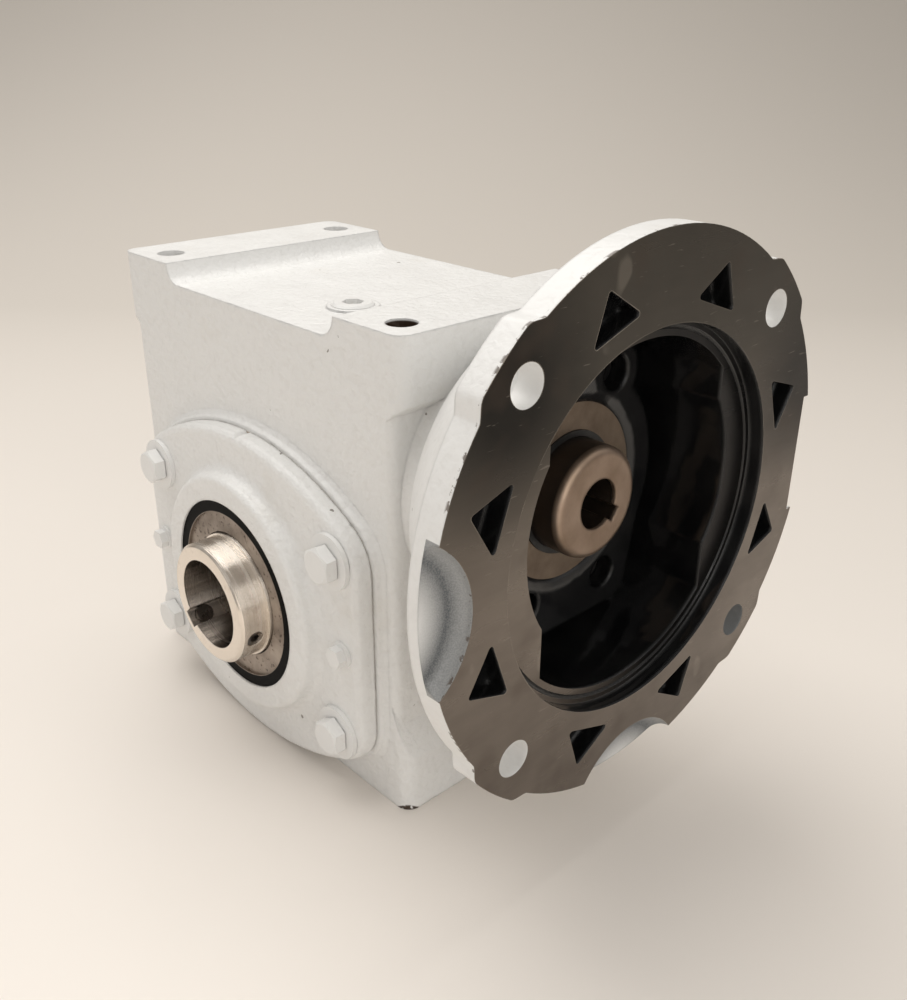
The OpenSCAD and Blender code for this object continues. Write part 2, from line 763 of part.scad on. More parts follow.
module output_shaft() {
    chamfer = 1;
    color("lightsteelblue") output_frame() difference() {
        union() {
            round_bar(shaft_r, -seal_plate_y1 - 1, seal_plate_y1 + 1);
            round_bar(nose_r, chamfer - shaft_half, shaft_half - chamfer);
            for (m = [0, 1]) mirror([0, 0, m]) translate([0, 0, shaft_half - chamfer])
                cylinder(r1 = nose_r, r2 = nose_r - chamfer, h = chamfer);
        }
        round_bar(bore_d / 2, -shaft_half - 1, shaft_half + 1);
        rotate(key_angle) translate([0, -key_w / 2, -shaft_half - 1])
            cube([bore_d / 2 + key_depth, key_w, 2 * shaft_half + 2]);
        rotate(90) translate([shaft_r - wheel_key_in, -wheel_key_w / 2 - fit_gap, 1 - hub_half_w])
            cube([wheel_key_h + 0.4, wheel_key_w + 2 * fit_gap, 2 * hub_half_w - 2]);
        at_set_screws() round_bar(set_screw_r + fit_gap, bore_d / 2 - key_depth, shaft_r + 1);
    }
}

// The places of the two set screws, one over the keyway, with Z out from the shaft axis.
module at_set_screws() {
    for (a = [0, 121]) rotate([0, 0, key_angle + a]) translate([0, 0, set_screw_y])
        rotate([0, 90, 0]) children();
}

module shaft_set_screws() {
    color("dimgray") output_frame() at_set_screws() difference() {
        round_bar(set_screw_r, bore_d / 2 + 0.5, nose_r - 0.6);
        hex_bar(set_screw_r, nose_r - 3, nose_r + 1);
    }
}

module wheel_key() {
    color("gray") output_frame() rotate(90)
        translate([shaft_r - wheel_key_in + fit_gap, -wheel_key_w / 2, 1.1 - hub_half_w])
        cube([wheel_key_h, wheel_key_w, 2 * hub_half_w - 2.2]);
}

module wheel_hub() {
    color("dimgray") output_frame() difference() {
        union() {
            round_bar(hub_neck_r, -hub_half_w, hub_half_w);
            round_bar(hub_outer_r - fit_gap, -wheel_w / 2, wheel_w / 2);
        }
        round_bar(shaft_r + fit_gap, -hub_half_w - 1, hub_half_w + 1);
        rotate(90) translate([shaft_r - 1, -wheel_key_w / 2 - fit_gap, -hub_half_w - 1])
            cube([wheel_key_h - 1, wheel_key_w + 2 * fit_gap, 2 * hub_half_w + 2]);
    }
}

// Outline of one wheel tooth, kept inside the curve of a true tooth.
module tooth_outline() {
    half = (axial_pitch / 2 - tooth_play / 2) / 2;
    polygon([
        [-half - 0.55, wheel_pitch_r - dedendum - 1],
        [-half - 0.5, wheel_pitch_r - dedendum],
        [-half, wheel_pitch_r],
        [-half + 0.8, wheel_pitch_r + addendum],
        [half - 0.8, wheel_pitch_r + addendum],
        [half, wheel_pitch_r],
        [half + 0.5, wheel_pitch_r - dedendum],
        [half + 0.55, wheel_pitch_r - dedendum - 1],
    ]);
}

module wheel_rim() {
    color("darkgoldenrod") output_frame() difference() {
        intersection() {
            union() {
                round_bar(wheel_pitch_r - dedendum, -wheel_w / 2, wheel_w / 2);
                for (i = [0:wheel_teeth - 1]) rotate(i * 360 / wheel_teeth) rotate([0, -lead_angle, 0])
                    linear_extrude(wheel_w + 10, center = true) tooth_outline();
            }
            round_bar(wheel_pitch_r + addendum, -wheel_w / 2, wheel_w / 2);
        }
        round_bar(hub_outer_r, -wheel_w, wheel_w);
    }
}

module spacer(far) {
    color("gray") output_frame(far) tube(spacer_r, shaft_r + fit_gap, hub_half_w, bearing_y0);
}

module near_spacer() {
    spacer(false);
}

module far_spacer() {
    spacer(true);
}

module output_bearing_outer(far) {
    color("silver") output_frame(far)
        outer_ring(out_bearing_d / 2, shaft_r, out_ball_r, bearing_y0, out_bearing_w);
}

module output_bearing_inner(far) {
    color("silver") output_frame(far)
        inner_ring(out_bearing_d / 2, shaft_r, out_ball_r, bearing_y0, out_bearing_w);
}

module output_bearing_balls(far) {
    color("silver") output_frame(far)
        ball_row(out_bearing_d / 2, shaft_r, out_ball_r, bearing_y0, out_bearing_w);
}

module near_bearing_outer_ring() {
    output_bearing_outer(false);
}

module near_bearing_inner_ring() {
    output_bearing_inner(false);
}

module near_bearing_balls() {
    output_bearing_balls(false);
}

module far_bearing_outer_ring() {
    output_bearing_outer(true);
}

module far_bearing_inner_ring() {
    output_bearing_inner(true);
}

module far_bearing_balls() {
    output_bearing_balls(true);
}

// Plate of an output cover, with a rounded front edge.
module cover_plate() {
    round_r = 2.6;
    flat_z = cover_front - round_r;
    translate([0, 0, cover_back]) linear_extrude(cover_t - round_r) cover_outline();
    for (a = [0:30:60]) hull() for (b = [a, a + 30])
        translate([0, 0, flat_z + round_r * sin(b) - eps]) linear_extrude(eps)
            cover_outline(round_r * (cos(b) - 1));
}

// Hub of an output cover, turned with a rounded edge and a fillet at its foot.
module cover_hub() {
    round_r = 2.2;
    fillet = 3.4;
    rotate_extrude() {
        translate([0, cover_front - 1]) square([hub_r, hub_h + 1 - round_r]);
        translate([0, cover_front]) square([hub_r - round_r, hub_h]);
        translate([hub_r - round_r, hub_y - round_r]) circle(r = round_r);
        difference() {
            translate([hub_r - 1, cover_front - 1]) square([fillet + 1, fillet + 1]);
            translate([hub_r + fillet, cover_front + fillet]) circle(r = fillet);
        }
    }
}

// An output cover: plate, spigot that holds the bearing, and hub that holds the seal.
module output_cover(far) {
    color("white") output_frame(far) above_base(foot_gap) difference() {
        union() {
            cover_plate();
            cover_hub();
            round_bar(cover_bore_r - fit_gap, bearing_y0, cover_back + 1);
        }
        round_bar(out_bearing_d / 2, bearing_y0 - 1, bearing_y1);
        round_bar(seal_bore_r - 4, bearing_y1 - 1, seal_y0 + 1);
        round_bar(seal_bore_r, seal_y0, hub_y + 1);
        at_cover_bolts() round_bar(bolt_d / 2 + 0.3, cover_back - 1, cover_front + 1);
        for (x = [-jack_x, jack_x]) translate([x, 0, 0])
            round_bar(jack_r + fit_gap, cover_back - 1, cover_front + 1);
        translate([0, cover_half_h - 1.5, cover_back - 1]) rotate(45) cube([6, 6, cover_t + 2]);
    }
}

module near_cover() {
    output_cover(false);
}

module far_cover() {
    output_cover(true);
}

module cover_gasket(far) {
    color("dimgray") output_frame(far) above_base(foot_gap) difference() {
        translate([0, 0, seat_y]) linear_extrude(gasket_t) cover_outline(-0.4);
        round_bar(cover_bore_r + 0.2, seat_y - 1, cover_back + 1);
        at_cover_bolts() round_bar(bolt_d / 2 + 0.4, seat_y - 1, cover_back + 1);
    }
}

module near_cover_gasket() {
    cover_gasket(false);
}

module far_cover_gasket() {
    cover_gasket(true);
}

module cover_bolts(far) {
    head_z = cover_front + washer_t;
    edge_r = 0.46 * bolt_af;
    color("whitesmoke") output_frame(far) at_cover_bolts() {
        round_bar(bolt_d / 2, cavity_y - 4, head_z + 1);
        round_bar(edge_r, head_z, head_z + 1);
        rotate(30) intersection() {
            hex_bar(bolt_af, head_z + 0.35, head_z + bolt_head_h);
            translate([0, 0, head_z]) cylinder(r1 = edge_r + 1.7 * bolt_head_h, r2 = edge_r, h = bolt_head_h);
        }
    }
}

module near_cover_bolts() {
    cover_bolts(false);
}

module far_cover_bolts() {
    cover_bolts(true);
}

module cover_washers(far) {
    color("whitesmoke") output_frame(far) at_cover_bolts()
        tube(washer_r, bolt_d / 2 + 0.2, cover_front, cover_front + washer_t);
}

module near_cover_washers() {
    cover_washers(false);
}

module far_cover_washers() {
    cover_washers(true);
}

module cover_small_screws(far) {
    color("whitesmoke") output_frame(far) for (x = [-jack_x, jack_x]) translate([x, 0, 0]) {
        round_bar(jack_r, cover_back + 0.2, cover_front + 1);
        round_bar(1.76 * jack_r, cover_front, cover_front + 1.1);
        hex_bar(2.5 * jack_r, cover_front + 1, cover_front + 1.6 * jack_r);
    }
}

module near_cover_small_screws() {
    cover_small_screws(false);
}

module far_cover_small_screws() {
    cover_small_screws(true);
}

module output_seal(far) {
    color("saddlebrown") output_frame(far) difference() {
        round_bar(seal_bore_r - fit_gap, seal_y0, seal_y1);
        round_bar(shaft_r + 0.4, seal_y0 - 1, seal_y1 + 1);
        round_bar(seal_bore_r - seal_wall, seal_y0 - 1, seal_plate_y0);
        round_bar(seal_lip_r, seal_plate_y1, seal_y1 + 1);
    }
}

module near_output_seal() {
    output_seal(false);
}

module far_output_seal() {
    output_seal(true);
}

module output_seal_lip(far) {
    color("black") output_frame(far)
        tube(shaft_r + seal_wall, shaft_r + run_gap, seal_plate_y0 - 3, seal_plate_y0 - fit_gap);
}

module near_output_seal_lip() {
    output_seal_lip(false);
}

module far_output_seal_lip() {
    output_seal_lip(true);
}

housing();
motor_flange();
flange_gasket();
flange_screws();
input_seal();
input_seal_lip();
worm_shaft();
front_bearing_outer_ring();
front_bearing_inner_ring();
front_bearing_balls();
rear_bearing_outer_ring();
rear_bearing_inner_ring();
rear_bearing_balls();
worm_snap_ring();
rear_end_cap();
rear_retaining_ring();
output_shaft();
wheel_rim();
wheel_hub();
wheel_key();
near_spacer();
far_spacer();
near_bearing_outer_ring();
near_bearing_inner_ring();
near_bearing_balls();
far_bearing_outer_ring();
far_bearing_inner_ring();
far_bearing_balls();
near_cover();
far_cover();
near_cover_gasket();
far_cover_gasket();
near_cover_bolts();
far_cover_bolts();
near_cover_washers();
far_cover_washers();
near_cover_small_screws();
far_cover_small_screws();
near_output_seal();
far_output_seal();
near_output_seal_lip();
far_output_seal_lip();
shaft_set_screws();
fill_plug();
drain_plug();
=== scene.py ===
"""Looks, light and camera for the worm gear reducer. Lengths are in metres, in the frame of the CAD model."""
import json
from math import cos, pi, sin, sqrt
import bpy
from mathutils import Matrix, Vector

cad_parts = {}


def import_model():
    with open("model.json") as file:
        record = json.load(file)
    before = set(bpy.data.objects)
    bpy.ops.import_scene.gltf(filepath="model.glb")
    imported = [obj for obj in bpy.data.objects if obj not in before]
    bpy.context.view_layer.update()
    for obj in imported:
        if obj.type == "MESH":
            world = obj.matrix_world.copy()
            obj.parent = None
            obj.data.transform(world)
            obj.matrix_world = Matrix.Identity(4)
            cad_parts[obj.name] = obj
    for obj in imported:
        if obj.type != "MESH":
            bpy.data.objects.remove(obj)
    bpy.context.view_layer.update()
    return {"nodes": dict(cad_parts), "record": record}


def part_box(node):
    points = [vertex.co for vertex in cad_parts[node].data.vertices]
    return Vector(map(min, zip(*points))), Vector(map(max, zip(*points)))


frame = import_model()
nodes = frame["nodes"]
joints = {joint["name"]: joint for joint in frame["record"]["behaviour"]["joints"]}
mounts = {mount["name"]: mount for mount in frame["record"]["mounts"]}

# Places that the materials use, taken from the frame
worm_z = joints["worm_spin"]["pos_m"][2]
flange_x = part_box("motor_flange")[1][0]
quill_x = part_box("worm_shaft")[1][0]
shaft_y = -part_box("output_shaft")[0][1]
base_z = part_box("housing")[0][2]
top_z = mounts["top_holes"]["pos_m"][2]
top_hole_x = mounts["top_holes"]["dims"]["spacing_x_mm"] / 2000
top_hole_y = mounts["top_holes"]["dims"]["spacing_y_mm"] / 2000
bolt_at = mounts["motor_bolts"]["dims"]["pcd_mm"] / 2000 / sqrt(2)
bolt_hole_r = mounts["motor_bolts"]["dims"]["hole_r_mm"] / 1000
pilot_r = mounts["motor_pilot"]["dims"]["r_mm"] / 1000
pilot_depth = mounts["motor_pilot"]["dims"]["length_mm"] / 1000

# Places that the frame doesn't give: edges of the solids, and limits of the bare, darkened and chipped spots
# and of the painted shade in the quill's bore
foot_x, foot_y = 0.0750, 0.0472
bell_depth = 0.0418
bell_foot_depth, bell_foot_r = 0.0430, 0.0520
bell_neck_depth, bell_neck_r = 0.0145, 0.0740
bell_wall = 0.0006
pocket_r_low, pocket_r_high = 0.0610, 0.0757
pocket_turn_low, pocket_turn_high = 0.197, 0.510
pocket_depth = 0.0070
bite_at, bite_mouth_r, bite_floor_depth = 0.0948, 0.0262, 0.00462
quill_outside_r, quill_keyway_r = 0.0172, 0.0106
quill_end_depth, quill_bore_depth, quill_dark_side_depth = 0.0005, 0.0012, 0.0026
sleeve_outside_r = 0.0200
seal_rim_r = 0.0302
front_half_x, input_seal_x = 0.070, 0.075
bare_hole_r, bare_hole_depth = 0.0054, 0.0006
chip_reach, chip_slope = 0.0052, 1.6
skin_depth, front_depth = 0.00008, 0.0010

# Where painted dark reflections lie on the machined face, and where the bites and one bolt hole are darkened
reflection_starts_up, reflection_full_up = -0.004, 0.045
left_patch_y, left_patch_up = -0.058, 0.050
right_patch_y, right_patch_up = 0.076, 0.026
patch_full_r, patch_edge_r = 0.016, 0.044
recess_reflection_starts_y, recess_reflection_full_y = -0.026, 0.012
dark_clear_r, dark_full_r = 0.0110, 0.0212
dark_thins_r, dark_rim_r = 0.0220, 0.0252

# Camera of the photograph, fitted to the bolt circle and the housing's edges
camera_at = (0.27632, -0.21613, 0.17907)
camera_right = (0.682380, 0.730979, 0.005202)
camera_up = (-0.310702, 0.283589, 0.907216)
camera_back = (0.661681, -0.620683, 0.420632)
camera_lens = 36.78

# Colours of the paint and of what marks it
white = (0.79, 0.788, 0.776)
white_worn = (0.72, 0.70, 0.66)
pit_shade = (0.36, 0.32, 0.27)
speck_brown = (0.10, 0.075, 0.05)
bare_iron_brown = (0.050, 0.029, 0.017)
chip_brown = (0.085, 0.055, 0.035)
bite_dark_grey = (0.058, 0.067, 0.074)

# Colours of the machined face and its marks, its painted dark reflections and painted edge highlight, and the
# black inside of the bell
face_dark, face_light = (0.155, 0.130, 0.109), (0.215, 0.184, 0.156)
wiped_brown = (0.085, 0.070, 0.056)
painted_dark_reflection = (0.027, 0.027, 0.022)
painted_reflection_patch = (0.008, 0.007, 0.006)
recess_painted_reflection = (0.010, 0.010, 0.011)
stain_brown = (0.070, 0.050, 0.038)
scratch_bright = (0.40, 0.36, 0.31)
painted_edge_highlight = (0.62, 0.56, 0.48)
bell_dark, bell_light = (0.004, 0.004, 0.0045), (0.010, 0.010, 0.010)

# Colours of the output shaft, the worm and the seals
sleeve_dark, sleeve_light = (0.70, 0.63, 0.55), (0.93, 0.86, 0.78)
sleeve_stain = (0.32, 0.23, 0.17)
bore_dark, bore_light = (0.20, 0.170, 0.145), (0.44, 0.385, 0.335)
oxide_dark, oxide_light = (0.34, 0.245, 0.175), (0.49, 0.37, 0.285)
quill_end_brown = (0.07, 0.045, 0.030)
quill_side_dark = (0.030, 0.024, 0.020)
quill_bore_shade = (0.022, 0.016, 0.013)
thread_dark, thread_light = (0.42, 0.38, 0.35), (0.52, 0.48, 0.45)
disc_dark, disc_light = (0.22, 0.180, 0.148), (0.44, 0.375, 0.320)
disc_rust = (0.045, 0.022, 0.012)
tan_dark, tan_light = (0.13, 0.094, 0.066), (0.22, 0.168, 0.123)
rim_black = (0.003, 0.003, 0.003)


class Graph:
    """A material's node tree, with short calls for the nodes that the materials share."""

    def __init__(self, name):
        self.material = bpy.data.materials.new(name)
        self.material.use_nodes = True
        self.tree = self.material.node_tree
        self.tree.nodes.clear()
        self.output = self.tree.nodes.new("ShaderNodeOutputMaterial")
        self.shader = self.tree.nodes.new("ShaderNodeBsdfPrincipled")
        self.link(self.shader.outputs[0], self.output.inputs[0])
        self.place = self.tree.nodes.new("ShaderNodeTexCoord").outputs["Object"]

    def link(self, source, target):
        self.tree.links.new(source, target)

    def put(self, target, value):
        """Sets an input to a number or colour, or links another node's output to it."""
        if isinstance(value, bpy.types.NodeSocket):
            self.link(value, target)
        else:
            target.default_value = value

    def maths(self, operation, a, b=0.0, c=0.0):
        node = self.tree.nodes.new("ShaderNodeMath")
        node.operation = operation
        for socket, value in zip(node.inputs, (a, b, c)):
            self.put(socket, value)
        return node.outputs[0]

    def plus(self, a, b):
        return self.maths("ADD", a, b)

    def minus(self, a, b):
        return self.maths("SUBTRACT", a, b)

    def times(self, a, b):
        return self.maths("MULTIPLY", a, b)

    def either(self, a, b):
        return self.maths("MAXIMUM", a, b)

    def outside(self, mask):
        """The mask turned round: 1 where it is 0."""
        return self.maths("SUBTRACT", 1.0, mask)

    def axes(self):
        node = self.tree.nodes.new("ShaderNodeSeparateXYZ")
        self.link(self.place, node.inputs[0])
        return node.outputs

    def radius(self, a, b):
        """Distance from an axis, from the two coordinates across it."""
        return self.maths("SQRT", self.plus(self.times(a, a), self.times(b, b)))

    def level(self, value, low, high, out_low, out_high):
        """A number that goes from out_low to out_high while the value goes from low to high."""
        node = self.tree.nodes.new("ShaderNodeMapRange")
        self.put(node.inputs["Value"], value)
        node.inputs["From Min"].default_value = low
        node.inputs["From Max"].default_value = high
        node.inputs["To Min"].default_value = out_low
        node.inputs["To Max"].default_value = out_high
        return node.outputs[0]

    def above(self, value, limit, soft=0.00005):
        """0 below the limit and 1 above it, with a soft edge."""
        return self.level(value, limit - soft, limit + soft, 0.0, 1.0)

    def below(self, value, limit, soft=0.00005):
        return self.outside(self.above(value, limit, soft))

    def noise(self, scale, detail=3.0, roughness=0.5, distortion=0.0, stretch=None):
        node = self.tree.nodes.new("ShaderNodeTexNoise")
        node.inputs["Scale"].default_value = scale
        node.inputs["Detail"].default_value = detail
        node.inputs["Roughness"].default_value = roughness
        node.inputs["Distortion"].default_value = distortion
        source = self.place
        if stretch:
            mapping = self.tree.nodes.new("ShaderNodeMapping")
            mapping.inputs["Scale"].default_value = stretch
            self.link(source, mapping.inputs["Vector"])
            source = mapping.outputs[0]
        self.link(source, node.inputs["Vector"])
        return node.outputs[0]

    def cells(self, scale):
        """Distance from the nearest of many scattered points."""
        node = self.tree.nodes.new("ShaderNodeTexVoronoi")
        node.inputs["Scale"].default_value = scale
        self.link(self.place, node.inputs["Vector"])
        return node.outputs["Distance"]

    def ramp(self, value, *stops):
        node = self.tree.nodes.new("ShaderNodeValToRGB")
        elements = node.color_ramp.elements
        while len(elements) < len(stops):
            elements.new(0.5)
        for element, (position, colour) in zip(elements, stops):
            element.position = position
            element.color = (*colour, 1.0)
        self.link(value, node.inputs[0])
        return node.outputs[0]

    def mix(self, factor, a, b):
        """A colour that goes from a to b with the factor."""
        node = self.tree.nodes.new("ShaderNodeMix")
        node.data_type = "RGBA"
        self.put(node.inputs["Factor"], factor)
        for socket, value in ((node.inputs[6], a), (node.inputs[7], b)):
            if isinstance(value, bpy.types.NodeSocket):
                self.link(value, socket)
            else:
                socket.default_value = (*value, 1.0)
        return node.outputs[2]

    def blend(self, factor, a, b):
        """A number that goes from a to b with the factor."""
        node = self.tree.nodes.new("ShaderNodeMix")
        self.put(node.inputs["Factor"], factor)
        self.put(node.inputs[2], a)
        self.put(node.inputs[3], b)
        return node.outputs[0]

    def bump(self, height, distance, strength=1.0, before=None):
        node = self.tree.nodes.new("ShaderNodeBump")
        node.inputs["Distance"].default_value = distance
        self.put(node.inputs["Strength"], strength)
        self.link(height, node.inputs["Height"])
        if before:
            self.link(before, node.inputs["Normal"])
        return node.outputs[0]

    def rounded_normal(self, radius, samples):
        """The surface's normal, rounded off near edges."""
        node = self.tree.nodes.new("ShaderNodeBevel")
        node.samples = samples
        self.put(node.inputs["Radius"], radius)
        return node.outputs[0]

    def plain_normal(self):
        return self.tree.nodes.new("ShaderNodeNewGeometry").outputs["Normal"]

    def soft_edges(self, radius, keep_sharp=None):
        """Normals that round the edges off, but not where keep_sharp is 1."""
        rounded = self.rounded_normal(radius, 6)
        if keep_sharp is None:
            return rounded
        mix = self.tree.nodes.new("ShaderNodeMix")
        mix.data_type = "VECTOR"
        self.put(mix.inputs["Factor"], keep_sharp)
        self.link(rounded, mix.inputs[4])
        self.link(self.plain_normal(), mix.inputs[5])
        return mix.outputs[1]

    def highlight_edges(self, radius, turn, soft):
        """1 along edges, where the rounded-off normal turns away from the surface's own one."""
        dot = self.tree.nodes.new("ShaderNodeVectorMath")
        dot.operation = "DOT_PRODUCT"
        self.link(self.rounded_normal(radius, 4), dot.inputs[0])
        self.link(self.plain_normal(), dot.inputs[1])
        return self.above(self.outside(dot.outputs["Value"]), turn, soft)

    def finish(self, colour, roughness, metallic=0.0, normal=None, **numbers):
        self.put(self.shader.inputs["Roughness"], roughness)
        self.put(self.shader.inputs["Metallic"], metallic)
        if isinstance(colour, bpy.types.NodeSocket):
            self.link(colour, self.shader.inputs["Base Color"])
        else:
            self.shader.inputs["Base Color"].default_value = (*colour, 1.0)
        if normal:
            self.link(normal, self.shader.inputs["Normal"])
        for name, value in numbers.items():
            self.shader.inputs[name.replace("_", " ")].default_value = value
        return self.material


def sand_grain(g):
    """The grain that a sand mould leaves, which shows through the paint."""
    return g.noise(430.0, 2.0, 0.45, 0.3)


def paint_colour(g):
    """White epoxy over a casting: faint patches, shaded pits and a few dark specks."""
    colour = g.ramp(g.noise(22.0, 4.0, 0.6), (0.35, white), (0.62, white), (0.80, white_worn))
    colour = g.mix(g.level(sand_grain(g), 0.30, 0.50, 0.06, 0.0), colour, pit_shade)
    rare = g.maths("GREATER_THAN", g.noise(95.0, 1.0), 0.70)
    speck = g.times(g.maths("LESS_THAN", g.cells(170.0), 0.13), rare)
    return g.mix(g.times(speck, 0.75), colour, speck_brown)


def paint_bump(g, before, strength):
    """The skin of a sand casting under thick paint, with the paint's own ripple on it."""
    skin = g.bump(sand_grain(g), 0.00062, strength, before)
    skin = g.bump(g.noise(1300.0, 1.0, 0.4), 0.00010, strength, skin)
    return g.bump(g.noise(75.0, 2.0, 0.5), 0.0009, strength, skin)


def painted_casting():
    """White paint, left off inside one tapped hole of the top and chipped at one corner of the base."""
    g = Graph("painted_casting")
    x, y, z = g.axes()
    hole_r = g.radius(g.minus(x, top_hole_x), g.plus(y, top_hole_y))
    bare = g.times(g.below(hole_r, bare_hole_r, 0.0001), g.below(z, top_z - bare_hole_depth, 0.0002))
    bare = g.times(bare, g.above(z, 0.0, 0.001))
    corner = g.radius(g.minus(x, foot_x), g.plus(y, foot_y))
    corner = g.plus(corner, g.times(g.minus(z, base_z), chip_slope))
    chip = g.times(g.below(corner, chip_reach, 0.0004), g.above(g.noise(420.0, 3.0, 0.6), 0.45, 0.03))
    colour = g.mix(g.either(bare, chip), paint_colour(g), bare_iron_brown)
    rough = g.level(g.noise(60.0, 3.0), 0.3, 0.7, 0.33, 0.46)
    skin = paint_bump(g, g.soft_edges(0.0013), 0.9)
    return g.finish(colour, rough, 0.0, skin, Coat_Weight=0.12, Coat_Roughness=0.25)


def painted_fastener():
    """The same paint on bolts, washers and plugs, which are smoother and sharper."""
    g = Graph("painted_fastener")
    colour = g.ramp(g.noise(160.0, 3.0, 0.6), (0.3, white), (0.66, white), (0.78, white_worn))
    skin = g.bump(g.noise(620.0, 2.0, 0.5), 0.00016, 0.7, g.soft_edges(0.0003))
    rough = g.level(g.noise(90.0), 0.3, 0.7, 0.30, 0.42)
    return g.finish(colour, rough, 0.0, skin, Coat_Weight=0.15, Coat_Roughness=0.2)


def turned_rings(g, along, pitch):
    """Fine rings left by a turning tool, one to each pitch, not quite even."""
    shaken = g.plus(along, g.times(g.noise(45.0, 2.0), 0.00012))
    wave = g.maths("SINE", g.times(shaken, 2 * pi / pitch))
    return g.maths("MULTIPLY_ADD", wave, 0.5, 0.5)


def scratches(g, scale):
    """Thin scattered scratches from handling, in two directions."""
    upright = g.noise(scale, 2.0, 0.5, 0.0, (1.0, 0.06, 0.05))
    level = g.noise(scale, 2.0, 0.5, 0.0, (0.05, 0.12, 1.0))
    return g.either(g.above(upright, 0.70, 0.02), g.above(level, 0.71, 0.02))


class FlangePlaces:
    """Distances and masks on the motor flange: where it is machined, bitten and black inside."""

    def __init__(self, g):
        self.x, self.y, z = g.axes()
        self.up = g.minus(z, worm_z)
        self.r = g.radius(self.y, self.up)
        within = g.below(self.r, pilot_r + 0.00025, 0.0001)
        # The face and the floor of the pilot recess are machined
        floor = g.above(self.x, flange_x - pilot_depth - skin_depth, 0.00003)
        floor = g.times(floor, g.below(self.x, flange_x - pilot_depth + skin_depth, 0.00003))
        front = g.above(self.x, flange_x - skin_depth, 0.00003)
        self.machined = g.either(front, g.times(floor, within))
        self.at_front = g.above(self.x, flange_x - front_depth, 0.0001)
        # Each bite is a dish round a point beside the rim
        side_bite = g.radius(g.plus(self.y, bite_at), self.up)
        low_bite = g.radius(self.y, g.plus(self.up, bite_at))
        self.bite_r = g.maths("MINIMUM", side_bite, low_bite)
        self.in_bite = g.below(self.bite_r, bite_mouth_r, 0.0001)
        # The bell is black inside the cone of its outer wall, and so are the eight pockets beside the bites
        bell = g.times(g.above(self.x, flange_x - bell_depth, 0.0002), within)
        foot, neck = flange_x - bell_foot_depth, flange_x - bell_neck_depth
        outside_r = g.level(self.x, foot, neck, bell_foot_r, bell_neck_r)
        bell = g.times(bell, g.below(g.minus(self.r, outside_r), -bell_wall, 0.0002))
        turn = g.maths("PINGPONG", g.maths("ARCTAN2", self.up, self.y), pi / 4)
        pocket = g.times(g.above(turn, pocket_turn_low, 0.002), g.below(turn, pocket_turn_high, 0.002))
        pocket = g.times(pocket, g.above(self.r, pocket_r_low, 0.0001))
        pocket = g.times(pocket, g.below(self.r, pocket_r_high, 0.0001))
        pocket = g.times(pocket, g.above(self.x, flange_x - pocket_depth, 0.0001))
        pocket = g.times(pocket, g.outside(self.in_bite))
        self.inner = g.times(g.either(bell, pocket), g.outside(self.machined))


def bolt_hole_distance(g, y, up):
    """Distance from the middle of the bolt hole in the quarter where y and up are positive."""
    return g.radius(g.minus(y, bolt_at), g.minus(up, bolt_at))


def machined_face(g, at, wiped):
    """Turned iron with wiping marks and stains, and painted light on it: a painted dark reflection over the
    upper half, painted dark reflection patches and painted highlights on the edges.
    """
    tint = g.noise(16.0, 4.0, 0.6)
    metal = g.ramp(tint, (0.35, face_dark), (0.65, face_light))
    metal = g.mix(g.level(wiped, 0.40, 0.66, 0.0, 0.30), metal, wiped_brown)
    # Painted reflection: the upper half of the face is darkened towards the top, with a ragged lower edge
    reflection_height = g.plus(at.up, g.times(g.minus(tint, 0.5), 0.06))
    metal = g.mix(g.level(reflection_height, reflection_starts_up, reflection_full_up, 0.0, 0.72), metal, painted_dark_reflection)
    # Painted reflection: two dark patches high on the left and right of the face, where it mirrors something
    # dark
    left_patch = g.radius(g.minus(at.y, left_patch_y), g.minus(at.up, left_patch_up))
    right_patch = g.radius(g.minus(at.y, right_patch_y), g.minus(at.up, right_patch_up))
    patch_r = g.plus(g.maths("MINIMUM", left_patch, right_patch), g.times(tint, 0.014))
    metal = g.mix(g.level(patch_r, patch_full_r, patch_edge_r, 0.86, 0.0), metal, painted_reflection_patch)
    metal = g.mix(g.times(scratches(g, 1100.0), 0.20), metal, scratch_bright)
    stain = g.above(g.noise(38.0, 3.0, 0.65), 0.60, 0.07)
    metal = g.mix(g.times(stain, 0.30), metal, stain_brown)
    # Painted highlight: bright metal along the edges of the face, strongest where the wiping noise is high
    edge_highlight = g.times(g.highlight_edges(0.0005, 0.12, 0.05), g.level(wiped, 0.42, 0.62, 0.05, 0.65))
    metal = g.mix(g.times(edge_highlight, at.at_front), metal, painted_edge_highlight)
    # Painted reflection: the far side of the recess floor is darkened to near black
    far_side = g.level(at.y, recess_reflection_starts_y, recess_reflection_full_y, 0.0, 0.93)
    return g.mix(g.times(g.outside(at.at_front), far_side), metal, recess_painted_reflection)


def bite_and_hole_darkening(g, at):
    """Darkening that grows up the walls of the bites, eases a little at their rims, and fills one bolt hole.
    """
    darkening = g.times(at.in_bite, g.level(at.bite_r, dark_clear_r, dark_full_r, 0.06, 0.97))
    darkening = g.times(darkening, g.level(at.bite_r, dark_thins_r, dark_rim_r, 1.0, 0.72))
    darkening = g.times(darkening, g.level(g.noise(2600.0, 1.0, 0.5), 0.35, 0.65, 0.88, 1.0))
    darkening = g.times(darkening, g.above(at.x, flange_x - bite_floor_depth, 0.00005))
    low_hole_r = bolt_hole_distance(g, at.y, g.times(at.up, -1.0))
    in_hole = g.below(low_hole_r, bolt_hole_r + 0.0007, 0.0001)
    return g.times(g.either(darkening, g.times(in_hole, 0.8)), g.outside(at.machined))


def rim_chips(g, at):
    """Chips in the paint along the edge of the face, but not in the bolt holes."""
    chips = g.above(g.noise(330.0, 3.0, 0.7), 0.57, 0.02)
    chips = g.times(g.above(at.x, flange_x - front_depth, 0.0003), chips)
    hole_r = bolt_hole_distance(g, g.maths("ABSOLUTE", at.y), g.maths("ABSOLUTE", at.up))
    return g.times(chips, g.above(hole_r, bolt_hole_r + 0.0012, 0.0002))


